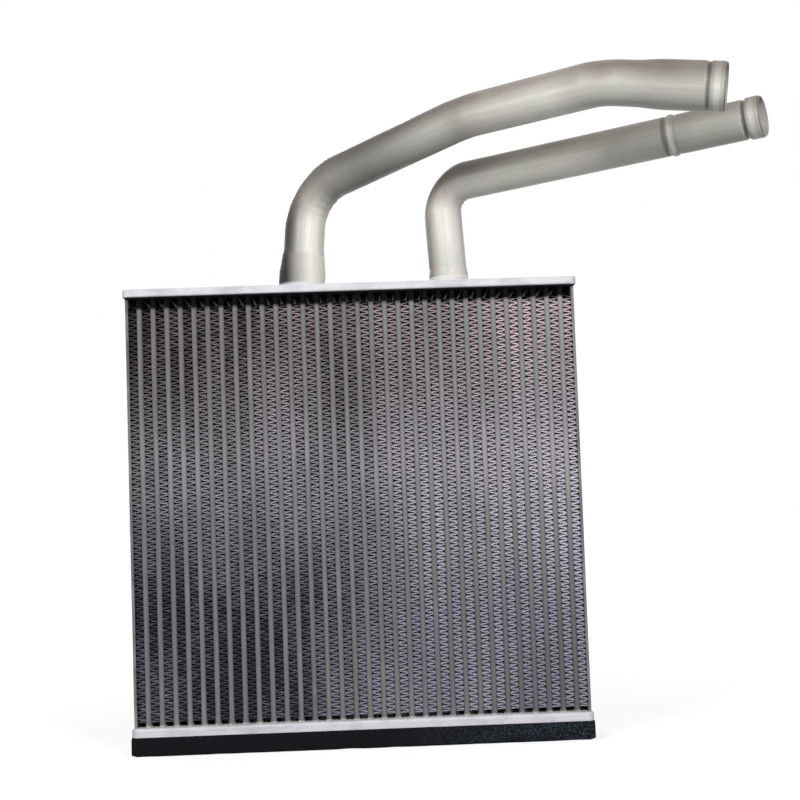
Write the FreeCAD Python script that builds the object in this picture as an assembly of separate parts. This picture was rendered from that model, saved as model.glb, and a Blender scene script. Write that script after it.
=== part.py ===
# Heater core of a car's heater box: a brazed aluminium block of flat water tubes and folded
# fins between two shallow tanks, with two bent water pipes on the upper tank and a foam strip
# under the lower one. Millimetres. +X runs to the right along the tanks, +Y away from the
# viewer through the depth of the block, +Z up. The origin is the middle of the bottom face.

import FreeCAD
import Part
import math
import os

from FreeCAD import Vector

# Water tubes: flat tubes that stand in one row
TUBE_COUNT = 32
TUBE_PITCH = 6.0
TUBE_THICK = 2.4
TUBE_DEPTH = 34.0
TUBE_WALL = 0.3
TUBE_NOSE = 1.0
TUBE_NOSE_FLAT = 1.1
TUBE_STAND = 1.0

# Folded fins: one strip in each gap between two tubes, and one beside each side plate
FIN_HEIGHT = 180.4
FIN_DEPTH = 33.0
FIN_SHEET = 0.25
FIN_PANELS = 12
BARE_TUBE_BELOW = 2.2
BARE_TUBE_ABOVE = 4.0

# Side plates that close the block at its left and right
SIDE_PLATE_THICK = 1.2
SIDE_PLATE_DEPTH = 34.0

# Header plates: a flat web with a slot for each tube, and a rim bent away from the block
HEADER_DEPTH = 40.0
HEADER_SHEET = 1.2
HEADER_RIM = 3.8
HEADER_BEND = 1.2
HEADER_CORNER = 3.0
HEADER_PAST_SIDE = 1.0

# Tanks: shallow pressed pans that sit inside the rims
TANK_SHEET = 1.0
TANK_SKIRT = 2.2
TANK_CROWN_RISE = 1.6
TANK_SHOULDER = 7.8
BAFFLE_THICK = 1.0

# Foam strip under the lower tank
FOAM_DEPTH = 42.0
FOAM_BELOW_CROWN = 6.9

# Pipes: outer diameter, wall, and the corners of each route as distances from the middle of
# the core (X), from its mid plane (Y) and above the crown of the upper tank (Z)
PIPE_WALL = 1.0
BORE_FLATS = 6
INLET_DIAMETER = 18.2
INLET_FOOT = (-21.7, 0.0, 0.0)
INLET_CORNERS = ((-18.0, 0.0, 44.6), (51.3, -45.0, 65.0), (102.2, -98.0, 63.9))
INLET_TIP = (148.8, -110.0, 57.5)
INLET_BENDS = (24.0, 40.0, 20.0)
INLET_NECK_HEIGHT = 15.0
INLET_NECK_TAPER = 8.0
INLET_NECK_FLARE = 1.0
OUTLET_DIAMETER = 16.9
OUTLET_FOOT = (45.1, 0.0, 0.0)
OUTLET_CORNERS = ((42.6, 0.0, 44.8),)
OUTLET_TIP = (173.3, -70.0, 55.6)
OUTLET_BENDS = (13.0,)
OUTLET_NECK_HEIGHT = 4.0
NECK_LIP = 0.3

# Hose ends: a belled sleeve, a rolled groove and a bead at each mouth
INLET_SLEEVE_DIAMETER = 19.8
INLET_SLEEVE_LENGTH = 24.0
INLET_SLEEVE_TAPER = 12.0
OUTLET_MOUTH_DIAMETER = 17.7
OUTLET_RING_FROM_TIP = 39.9
OUTLET_RING_WIDTH = 2.6
OUTLET_RING_RISE = 0.45
GROOVE_FROM_TIP = 6.9
GROOVE_HALF_WIDTH = 1.3
GROOVE_DEEP = 0.5
LIP_LENGTH = 1.5

# Heights and widths that follow from the sizes above
FOAM_TOP = FOAM_BELOW_CROWN + TANK_SKIRT + TANK_CROWN_RISE + HEADER_SHEET - HEADER_RIM
BLOCK_BOTTOM = FOAM_TOP + HEADER_RIM
FIN_BOTTOM = BLOCK_BOTTOM + BARE_TUBE_BELOW
BLOCK_TOP = FIN_BOTTOM + FIN_HEIGHT + BARE_TUBE_ABOVE
BLOCK_MIDDLE = (BLOCK_BOTTOM + BLOCK_TOP) / 2
WEB_TOP = BLOCK_TOP + HEADER_SHEET
CROWN_TOP = WEB_TOP + TANK_SKIRT + TANK_CROWN_RISE
CROWN_UNDERSIDE = CROWN_TOP - TANK_SHEET
FIN_GAP = TUBE_PITCH - TUBE_THICK
FIRST_TUBE = -(TUBE_COUNT - 1) * TUBE_PITCH / 2
SIDE_INNER = -FIRST_TUBE + TUBE_THICK / 2 + FIN_GAP
SIDE_OUTER = SIDE_INNER + SIDE_PLATE_THICK
HEADER_LENGTH = 2 * (SIDE_OUTER + HEADER_PAST_SIDE)
TANK_LENGTH = HEADER_LENGTH - 2 * HEADER_SHEET
TANK_DEPTH = HEADER_DEPTH - 2 * HEADER_SHEET


def block(length, depth, low, high):
    """A plain block centred on the Z axis between two heights."""
    return Part.makeBox(length, depth, high - low, Vector(-length / 2, -depth / 2, low))


def rounded_block(length, depth, corner, low, high):
    """A block whose four upright corners are rounded."""
    solid = block(length, depth, low, high)
    upright = [e for e in solid.Edges if abs(e.tangentAt(e.FirstParameter).z) > 0.9]
    return solid.makeFillet(corner, upright)


def extrusion(points, run):
    """A closed outline of straight lines, pushed along a vector."""
    outline = Part.makePolygon(points + [points[0]])
    return Part.Face(outline).extrude(run)


def tube_outline(x, z):
    """The corners of one flat tube's section: two flat sides and two narrowed noses."""
    wide = TUBE_THICK / 2
    narrow = TUBE_NOSE_FLAT / 2
    nose = TUBE_DEPTH / 2
    shoulder = nose - TUBE_NOSE
    half = [(wide, shoulder), (narrow, nose), (-narrow, nose), (-wide, shoulder)]
    around = half + [(-a, -b) for a, b in half]
    return [Vector(x + a, b, z) for a, b in around]


def tube_block(x, low, high):
    """The outside of one flat tube between two heights."""
    return extrusion(tube_outline(x, low), Vector(0, 0, high - low))


def flat_tube(x):
    """One hollow flat tube, which stands a little past both header webs into the tanks."""
    low = BLOCK_BOTTOM - HEADER_SHEET - TUBE_STAND
    high = WEB_TOP + TUBE_STAND
    passage = block(TUBE_THICK - 2 * TUBE_WALL, TUBE_DEPTH - 2 * TUBE_NOSE, low, high)
    passage.translate(Vector(x, 0, 0))
    return tube_block(x, low, high).cut(passage)


def fin_strip(x):
    """One folded strip that zigzags upward and touches both walls of its gap at every fold."""
    rise = FIN_HEIGHT / FIN_PANELS
    slant = math.atan2(rise, FIN_GAP)
    across = FIN_SHEET / math.sin(slant)
    left = x - FIN_GAP / 2
    one_face = []
    other_face = []
    for fold in range(FIN_PANELS + 1):
        out = (fold % 2) * (FIN_GAP - across)
        height = FIN_BOTTOM + fold * rise
        one_face.append(Vector(left + out, -FIN_DEPTH / 2, height))
        other_face.append(Vector(left + out + across, -FIN_DEPTH / 2, height))
    return extrusion(one_face + other_face[::-1], Vector(0, FIN_DEPTH, 0))


def tube_places():
    """The X place of every tube, from left to right."""
    return [FIRST_TUBE + i * TUBE_PITCH for i in range(TUBE_COUNT)]


def fin_places():
    """The X place of every fin strip: half a pitch beside each tube."""
    half = TUBE_PITCH / 2
    return [FIRST_TUBE - half] + [x + half for x in tube_places()]


def side_plate(side):
    """The flat plate that closes the block on one side, from header to header."""
    left = SIDE_INNER if side > 0 else -SIDE_OUTER
    height = BLOCK_TOP - BLOCK_BOTTOM
    corner = Vector(left, -SIDE_PLATE_DEPTH / 2, BLOCK_BOTTOM)
    return Part.makeBox(SIDE_PLATE_THICK, SIDE_PLATE_DEPTH, height, corner)


def header_plate():
    """The upper header: a pressed tray with its open side up and one slot for each tube."""
    top = BLOCK_TOP + HEADER_RIM
    tray = block(HEADER_LENGTH, HEADER_DEPTH, BLOCK_TOP, top)
    lower_edges = [e for e in tray.Edges if e.BoundBox.ZMax < BLOCK_TOP + HEADER_SHEET]
    tray = tray.makeFillet(HEADER_BEND, lower_edges)
    corners = rounded_block(HEADER_LENGTH, HEADER_DEPTH, HEADER_CORNER, BLOCK_TOP, top)
    tray = tray.common(corners)
    tray = tray.cut(block(TANK_LENGTH, TANK_DEPTH, WEB_TOP, top))
    slots = [tube_block(x, BLOCK_TOP, WEB_TOP) for x in tube_places()]
    return tray.cut(Part.makeCompound(slots))


def pan_outline(width, knee, crown):
    """The corners of a pan's section, from the header on one side over its crown and back."""
    half = width / 2
    top = half - TANK_SHOULDER
    side = [(half, WEB_TOP), (half, knee), (top, crown)]
    return side + [(-reach, height) for reach, height in side[::-1]]


def pan(shrink, lift):
    """A filled pan: an upright skirt, then shoulders that lean in to a flat crown."""
    length = TANK_LENGTH - 2 * shrink
    depth = TANK_DEPTH - 2 * shrink
    knee = WEB_TOP + TANK_SKIRT - lift
    crown = CROWN_TOP - lift
    front = [Vector(a, -depth / 2, z) for a, z in pan_outline(length, knee, crown)]
    end = [Vector(-length / 2, b, z) for b, z in pan_outline(depth, knee, crown)]
    return extrusion(front, Vector(0, depth, 0)).common(extrusion(end, Vector(length, 0, 0)))


def tank_space():
    """The water space under the upper tank's cover."""
    return pan(TANK_SHEET, TANK_SHEET)


def tank_cover():
    """One pressed tank cover of even thickness, open towards its header."""
    return pan(0.0, 0.0).cut(tank_space())


def to_lower_end(shape):
    """The same piece at the other end of the block, upside down."""
    return shape.mirror(Vector(0, 0, BLOCK_MIDDLE), Vector(0, 0, 1))


def baffle():
    """The plate that parts the upper tank in two, midway between the two middle tubes."""
    places = tube_places()
    middle = (places[TUBE_COUNT // 2 - 1] + places[TUBE_COUNT // 2]) / 2
    slab = block(BAFFLE_THICK, TANK_DEPTH, WEB_TOP, CROWN_TOP)
    slab.translate(Vector(middle, 0, 0))
    return tank_space().common(slab)


def foam_strip():
    """The foam strip, hollowed on top to take the lower tank."""
    strip = block(HEADER_LENGTH, FOAM_DEPTH, 0, FOAM_TOP)
    return strip.cut(to_lower_end(pan(0.0, 0.0)))


def on_crown(place):
    """A point of a pipe's route in the frame of the whole part."""
    return Vector(place[0], place[1], CROWN_TOP + place[2])


def turn_at(before, corner, after, radius):
    """The arc that rounds one corner of a route: its start, middle and end."""
    back = (before - corner).normalize()
    ahead = (after - corner).normalize()
    half = back.getAngle(ahead) / 2
    reach = radius / math.tan(half)
    centre = corner + (back + ahead).normalize() * (radius / math.sin(half))
    middle = centre + (corner - centre).normalize() * radius
    return corner + back * reach, middle, corner + ahead * reach


def route(corners, bends):
    """A wire of straight runs joined by tangent arcs."""
    edges = []
    start = corners[0]
    for i, radius in enumerate(bends):
        first, middle, last = turn_at(corners[i], corners[i + 1], corners[i + 2], radius)
        edges.append(Part.LineSegment(start, first).toShape())
        edges.append(Part.Arc(first, middle, last).toShape())
        start = last
    edges.append(Part.LineSegment(start, corners[-1]).toShape())
    return Part.Wire(edges)


def swept_rod(path, start, ahead, radius):
    """A round bar along a route."""
    ring = Part.Wire(Part.makeCircle(radius, start, ahead))
    return path.makePipe(Part.Face(ring))


def swept_bore(path, start, ahead, radius):
    """The water way along a route, with flats whose corners lie on the radius."""
    side = ahead.cross(Vector(0, 1, 0)).normalize() * radius
    turn = FreeCAD.Rotation(ahead, 360 / BORE_FLATS)
    corners = []
    for _ in range(BORE_FLATS):
        corners.append(start + side)
        side = turn.multVec(side)
    return path.makePipe(Part.Face(Part.makePolygon(corners + [corners[0]])))


def turned(profile, tip, back):
    """A solid of revolution at a pipe's mouth, from (distance from the tip, radius) pairs."""
    side = back.cross(Vector(0, 0, 1)).normalize()
    corners = [tip + back * run + side * radius for run, radius in profile]
    face = Part.Face(Part.makePolygon(corners + [corners[0]]))
    return face.revolve(tip, back, 360)


def bead_profile(sleeve, bead):
    """The outside of a mouth's last stretch: groove, bead and lip, as (distance, radius) pairs."""
    return [
        (GROOVE_FROM_TIP + GROOVE_HALF_WIDTH, sleeve),
        (GROOVE_FROM_TIP, sleeve - GROOVE_DEEP),
        (GROOVE_FROM_TIP - GROOVE_HALF_WIDTH, bead),
        (LIP_LENGTH, bead),
        (0.0, bead - GROOVE_DEEP),
    ]


def pipe(foot, corners, tip, bends, diameter, outline, bore):
    """A bent pipe: a swept tube as far as its mouth, and a turned mouth joined to its end."""
    stops = [on_crown(p) for p in (foot,) + corners + (tip,)]
    ahead = (stops[1] - stops[0]).normalize()
    stops[0] = stops[0] - ahead * (2 * TANK_SHEET)
    back = (stops[-2] - stops[-1]).normalize()
    end = stops[-1]
    stops[-1] = end + back * outline[0][0]
    path = route(stops, bends)
    outside = swept_rod(path, stops[0], ahead, diameter / 2)
    inside = swept_bore(path, stops[0], ahead, diameter / 2 - PIPE_WALL)
    mouth = turned(outline + bore[::-1], end, back)
    below = block(2 * HEADER_LENGTH, 2 * HEADER_DEPTH, 0, CROWN_UNDERSIDE)
    return outside.cut(inside).fuse(mouth).removeSplitter().cut(below)


def inlet_pipe():
    """The larger pipe, which is belled out to a wider sleeve before its mouth."""
    body = INLET_DIAMETER / 2
    sleeve = INLET_SLEEVE_DIAMETER / 2
    start = INLET_SLEEVE_LENGTH + INLET_SLEEVE_TAPER
    outline = [(start, body), (INLET_SLEEVE_LENGTH, sleeve)] + bead_profile(sleeve, sleeve)
    bore = [
        (start, body - PIPE_WALL),
        (INLET_SLEEVE_LENGTH, sleeve - PIPE_WALL),
        (0.0, sleeve - PIPE_WALL),
    ]
    return pipe(
        INLET_FOOT, INLET_CORNERS, INLET_TIP, INLET_BENDS, INLET_DIAMETER, outline, bore
    )


def outlet_pipe():
    """The smaller pipe, with a stop ring part way along and a flared bead at its mouth."""
    body = OUTLET_DIAMETER / 2
    mouth = OUTLET_MOUTH_DIAMETER / 2
    ring_end = OUTLET_RING_FROM_TIP - OUTLET_RING_WIDTH
    ring_middle = OUTLET_RING_FROM_TIP - OUTLET_RING_WIDTH / 2
    ring = [
        (OUTLET_RING_FROM_TIP, body),
        (ring_middle, body + OUTLET_RING_RISE),
        (ring_end, body),
    ]
    outline = ring + bead_profile(body, mouth)
    bore = [
        (OUTLET_RING_FROM_TIP, body - PIPE_WALL),
        (GROOVE_FROM_TIP, body - PIPE_WALL),
        (0.0, mouth - PIPE_WALL),
    ]
    return pipe(
        OUTLET_FOOT, OUTLET_CORNERS, OUTLET_TIP, OUTLET_BENDS, OUTLET_DIAMETER, outline, bore
    )


def neck(foot, corner, diameter, height, taper, flare):
    """The drawn neck of the tank cover round a pipe's foot, and the hole through it."""
    base = on_crown(foot)
    ahead = (on_crown(corner) - base).normalize()
    low = base - ahead * (2 * TANK_SHEET)
    hole = Part.makeCylinder(diameter / 2, height + 3 * TANK_SHEET, low, ahead)
    radius = diameter / 2 + NECK_LIP
    straight = height - taper
    collar = Part.makeCylinder(radius + flare, straight + 2 * TANK_SHEET, low, ahead)
    if taper > 0:
        top = Part.makeCone(radius + flare, radius, taper, base + ahead * straight, ahead)
        collar = collar.fuse(top)
    below = block(2 * HEADER_LENGTH, 2 * HEADER_DEPTH, 0, CROWN_UNDERSIDE)
    return collar.cut(below), hole


def upper_tank():
    """The upper tank cover with a neck for each pipe."""
    inlet_neck, inlet_hole = neck(
        INLET_FOOT,
        INLET_CORNERS[0],
        INLET_DIAMETER,
        INLET_NECK_HEIGHT,
        INLET_NECK_TAPER,
        INLET_NECK_FLARE,
    )
    outlet_neck, outlet_hole = neck(
        OUTLET_FOOT, OUTLET_CORNERS[0], OUTLET_DIAMETER, OUTLET_NECK_HEIGHT, 0.0, 0.0
    )
    cover = tank_cover().fuse([inlet_neck, outlet_neck]).removeSplitter()
    return cover.cut([inlet_hole, outlet_hole])


def write(node, shape):
    """One piece, or one group of like pieces, as a file of its own."""
    shape.exportStep("parts/" + node + ".step")


def build():
    """Every piece of the heater core."""
    os.makedirs("parts", exist_ok=True)
    for i, x in enumerate(tube_places()):
        write("water_tube_%02d" % (i + 1), flat_tube(x))
    write("fin_strips", Part.makeCompound([fin_strip(x) for x in fin_places()]))
    write("left_side_plate", side_plate(-1))
    write("right_side_plate", side_plate(1))
    write("upper_header_plate", header_plate())
    write("lower_header_plate", to_lower_end(header_plate()))
    write("upper_tank", upper_tank())
    write("lower_tank", to_lower_end(tank_cover()))
    write("tank_baffle", baffle())
    write("inlet_pipe", inlet_pipe())
    write("outlet_pipe", outlet_pipe())
    write("foam_seal", foam_strip())


build()
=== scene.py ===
"""Dresses a heater core: round-nosed water tubes, closely folded fins, pressed and brazed tanks,
two bent water pipes with rolled hose ends, and the foam strip that the core stands on."""

import math
import random
from typing import NamedTuple

import bpy
from bpy.props import FloatProperty, FloatVectorProperty, IntProperty
from mathutils import Matrix, Vector, noise

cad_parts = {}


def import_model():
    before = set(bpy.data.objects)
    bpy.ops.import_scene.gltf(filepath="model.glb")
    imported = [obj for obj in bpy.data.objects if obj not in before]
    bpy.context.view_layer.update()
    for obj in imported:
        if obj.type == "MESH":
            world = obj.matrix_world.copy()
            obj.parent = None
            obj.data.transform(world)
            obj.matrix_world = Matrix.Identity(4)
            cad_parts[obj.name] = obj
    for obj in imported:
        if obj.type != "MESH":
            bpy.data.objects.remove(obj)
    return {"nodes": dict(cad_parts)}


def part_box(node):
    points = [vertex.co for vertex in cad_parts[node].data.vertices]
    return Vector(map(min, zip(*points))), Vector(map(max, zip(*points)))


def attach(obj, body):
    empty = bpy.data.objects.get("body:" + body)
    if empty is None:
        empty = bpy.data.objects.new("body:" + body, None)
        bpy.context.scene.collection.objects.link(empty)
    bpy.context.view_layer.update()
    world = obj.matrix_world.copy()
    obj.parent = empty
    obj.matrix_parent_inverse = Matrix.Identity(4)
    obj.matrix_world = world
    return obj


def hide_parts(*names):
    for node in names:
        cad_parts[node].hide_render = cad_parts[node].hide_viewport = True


bl_info = {
    "name": "Heater core",
    "version": (1, 0, 0),
    "blender": (4, 5, 0),
    "location": "3D View > Sidebar > Heater core",
    "description": "Dresses a brazed heater core with its fins, pipes, foam strip and finishes",
    "category": "Object",
}

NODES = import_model()["nodes"]
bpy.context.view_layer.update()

TUBE_NODES = sorted(name for name in NODES if name.startswith("water_tube_"))
PLATE_NODES = (
    "upper_header_plate", "lower_header_plate", "upper_tank", "lower_tank", "tank_baffle"
)
SIDE_NODES = ("left_side_plate", "right_side_plate")
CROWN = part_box("tank_baffle")[1].z + 0.001
FIN_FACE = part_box("fin_strips")[1].y
FIN_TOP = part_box("fin_strips")[1].z
HEADER_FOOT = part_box("upper_header_plate")[0].z

# Steps of the meshes
NOSE_STEPS = 6
TUBE_ROWS = 26
FILLET_STEPS = 4
PIPE_SIDES = 48
MOUTH_STEPS = 30
RING_STEPS = 20
FOAM_STOPS = 84

# Fins: the share of the depth where the bank at the face ends, the gap between two banks, the
# flat share of a crest, and how far the folds may stand over the solids' fins
FACE_BANK_END = 0.6
BANK_GAP = 0.0001
FLAT_CREST = 0.13
FIN_OVERRUN = 0.0005

# Where a tube's nose starts, from its mid plane
NOSE_START = 0.0161

# The pipes' routes, in metres: along the core, from its mid plane, and above the tank's crown
INLET_ROUTE = (
    (-0.0217, 0.0, 0.0), (-0.018, 0.0, 0.0446), (0.0513, -0.045, 0.065),
    (0.1022, -0.098, 0.0639), (0.1488, -0.11, 0.0575),
)
INLET_BENDS = (0.024, 0.04, 0.02)
OUTLET_ROUTE = ((0.0451, 0.0, 0.0), (0.0426, 0.0, 0.0448), (0.1733, -0.07, 0.0556))
OUTLET_BENDS = (0.013,)

# How pale each pipe is painted along its length: distances from its foot, in metres, and shares. It
# is partly the metal's own colour, darker around the inlet's first bend, and partly painted light:
# pale stretches for highlights on the risers and runs
INLET_TONE_AND_LIGHT = (
    (0.0, 1.62), (0.030, 1.75), (0.056, 0.62), (0.075, 0.5), (0.119, 0.98),
    (0.150, 1.6), (0.175, 1.8), (0.200, 1.22), (0.220, 0.98), (0.3, 1.2),
)
OUTLET_TONE_AND_LIGHT = (
    (0.0, 1.4), (0.034, 1.8), (0.052, 1.45), (0.106, 1.75), (0.131, 1.4), (0.160, 1.1), (0.3, 1.2),
)
# How deep the painted shade on each riser's left side is
INLET_LEFT_SHADE = 0.88
OUTLET_LEFT_SHADE = 0.1

# How deep the pipes start inside their necks, and the height of each neck
FOOT_DEPTH = 0.0009
INLET_NECK = 0.015
OUTLET_NECK = 0.004

# Hose ends, as distances from the mouth, and the depth that is rolled into the metal
HOSE_END = 0.012
MOUTH_DEPTH = 0.0085
GROOVE = 0.0069
LIP = 0.0013
ROLLED = 0.0005
BELL_TAPER = 0.012
WRINKLE_PITCH = 0.0052
NO_RING = 1.0

# The braze skirt at a pipe's foot: distances out from the pipe and up from the neck's edge
COLLAR_SECTION = (
    (0.00026, -0.0016), (0.00036, -0.0009), (0.00040, -0.0002), (0.00030, 0.0006),
    (0.00018, 0.0015), (0.00008, 0.0024), (-0.0001, 0.0032),
)

# The hollow in the foam's top that takes the lower tank: where its rows of points run, and the
# width and slope of the tank's shoulder
HOLLOW_ROWS = (0.0192, 0.0165, 0.0137, 0.011, 0.005)
TANK_SHOULDER = 0.0078
TANK_SLOPE = 0.0016 / TANK_SHOULDER

# The stage. Each lamp has a name, a place, a point that it faces, a width and its power's setting
FLOOR_REACH = 6.0
LAMPS = (
    ("key_lamp", (0.36, -0.80, 0.50), (0.02, 0.0, 0.14), 0.30, "key_power"),
    ("left_lamp", (-0.48, -0.72, 0.52), (0.02, 0.0, 0.16), 0.30, "left_power"),
    ("back_lamp", (-0.25, 0.95, 0.60), (0.0, 0.0, 0.10), 0.40, "back_power"),
    ("top_lamp", (-0.10, -0.25, 0.95), (0.02, 0.0, 0.12), 0.60, "top_power"),
)
CAMERA_PLACE = (0.0015, -0.7, 0.1022)
CAMERA_TURN = (1.59, 4.01, -2.0)


def length(label, note, default):
    """A size in metres for a settings panel."""
    return FloatProperty(name=label, description=note, default=default, unit="LENGTH", precision=5)


def power(label, note, default):
    """A lamp's power for a settings panel."""
    return FloatProperty(name=label, description=note, default=default, unit="POWER")


def colour(label, note, default):
    """A colour for a settings panel."""
    return FloatVectorProperty(
        name=label, description=note, default=default, subtype="COLOR", size=3, min=0.0, max=1.0
    )


class HeaterBlockSizes(bpy.types.PropertyGroup):
    """Sizes of the tubes, fins and foam."""

    tube_thickness: length("Tube thickness", "Width of a flat tube's nose", 0.0024)
    tube_waver: length("Tube waver", "How far a tube strays from a straight line", 0.00012)
    fin_folds: IntProperty(
        name="Fin folds", description="Panels in one folded strip", default=158, min=20, max=200
    )
    fin_sheet: length("Fin sheet", "Thickness of the fins' sheet", 0.00011)
    fin_lean: length("Fin lean", "How far the panels of each bank lean", 0.0016)
    fin_scatter: length("Fin scatter", "How unevenly the panels stand", 0.00008)
    joint_fillet: length("Joint fillet", "Width of the braze around a tube's end", 0.0006)
    foam_edge: length("Foam edge", "Rounding of the foam strip's edges", 0.0011)


class HeaterPipeSizes(bpy.types.PropertyGroup):
    """Sizes of the two water pipes."""

    wall: length("Wall", "Thickness of both pipes' walls", 0.001)
    inlet_radius: length("Inlet radius", "Outside radius of the larger pipe", 0.00908)
    sleeve_radius: length("Sleeve radius", "Outside radius of the larger pipe's end", 0.00982)
    sleeve_length: length("Sleeve length", "Length of the larger pipe's belled end", 0.024)
    outlet_radius: length("Outlet radius", "Outside radius of the smaller pipe", 0.00843)
    mouth_radius: length("Mouth radius", "Outside radius of the smaller pipe's bead", 0.00883)
    ring_place: length("Ring place", "Distance of the stop ring from the mouth", 0.0386)
    wrinkle: length("Wrinkle", "Height of the wrinkles inside a bend", 0.00022)
    flattening: length("Flattening", "How far the outside of a bend is flattened", 0.0012)


class HeaterFinishes(bpy.types.PropertyGroup):
    """Colours of the finishes."""

    tube: colour("Tube", "Aluminium of the flat tubes", (0.17, 0.167, 0.175))
    # Painted light: the fins run from the shaded colour at the left to the lit colour at the right
    fin_shaded: colour("Dark fin", "Fins where the oven left them dark", (0.06, 0.054, 0.062))
    fin_lit: colour("Pale fin", "Fins where flux dried on them", (0.80, 0.78, 0.82))
    flux: colour("Flux", "Pale flux left on headers and tanks", (0.64, 0.63, 0.67))
    plate: colour("Plate", "Aluminium of headers and tanks", (0.50, 0.49, 0.53))
    # Painted shade: a near black laid on the tubes, fins, header and braze in the gap under the
    # upper header, and on the inlet neck's left side
    painted_shade: colour("Shade", "Burnt flux at the tubes' ends", (0.004, 0.004, 0.005))
    pipe: colour("Pipe", "Aluminium of the water pipes", (0.46, 0.447, 0.412))
    stain: colour("Stain", "Heat stain at the pipes' bends", (0.30, 0.25, 0.22))
    green: colour("Green tint", "Faint green tint along the pipes", (0.36, 0.375, 0.33))
    foam: colour("Foam", "Closed-cell foam", (0.003, 0.003, 0.004))
    # The colour of the foam's painted blue sheen
    bloom_and_sheen: colour("Sheen", "Blue bloom on the foam", (0.070, 0.110, 0.145))
    floor: colour("Floor", "Studio floor", (0.40, 0.40, 0.40))


class HeaterStageSettings(bpy.types.PropertyGroup):
    """Lamps and camera."""

    key_power: power("Key lamp", "Power of the lamp at the right", 6.0)
    left_power: power("Left lamp", "Power of the lamp at the left", 4.5)
    back_power: power("Back lamp", "Power of the lamp behind", 3.5)
    top_power: power("Top lamp", "Power of the lamp overhead", 0.2)
    ambient: FloatProperty(
        name="Ambient", description="Strength of the even light", default=0.12, min=0.0
    )
    focal_length: FloatProperty(
        name="Focal length", description="Camera lens", default=70.1, unit="CAMERA"
    )


# Shader helpers


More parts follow.
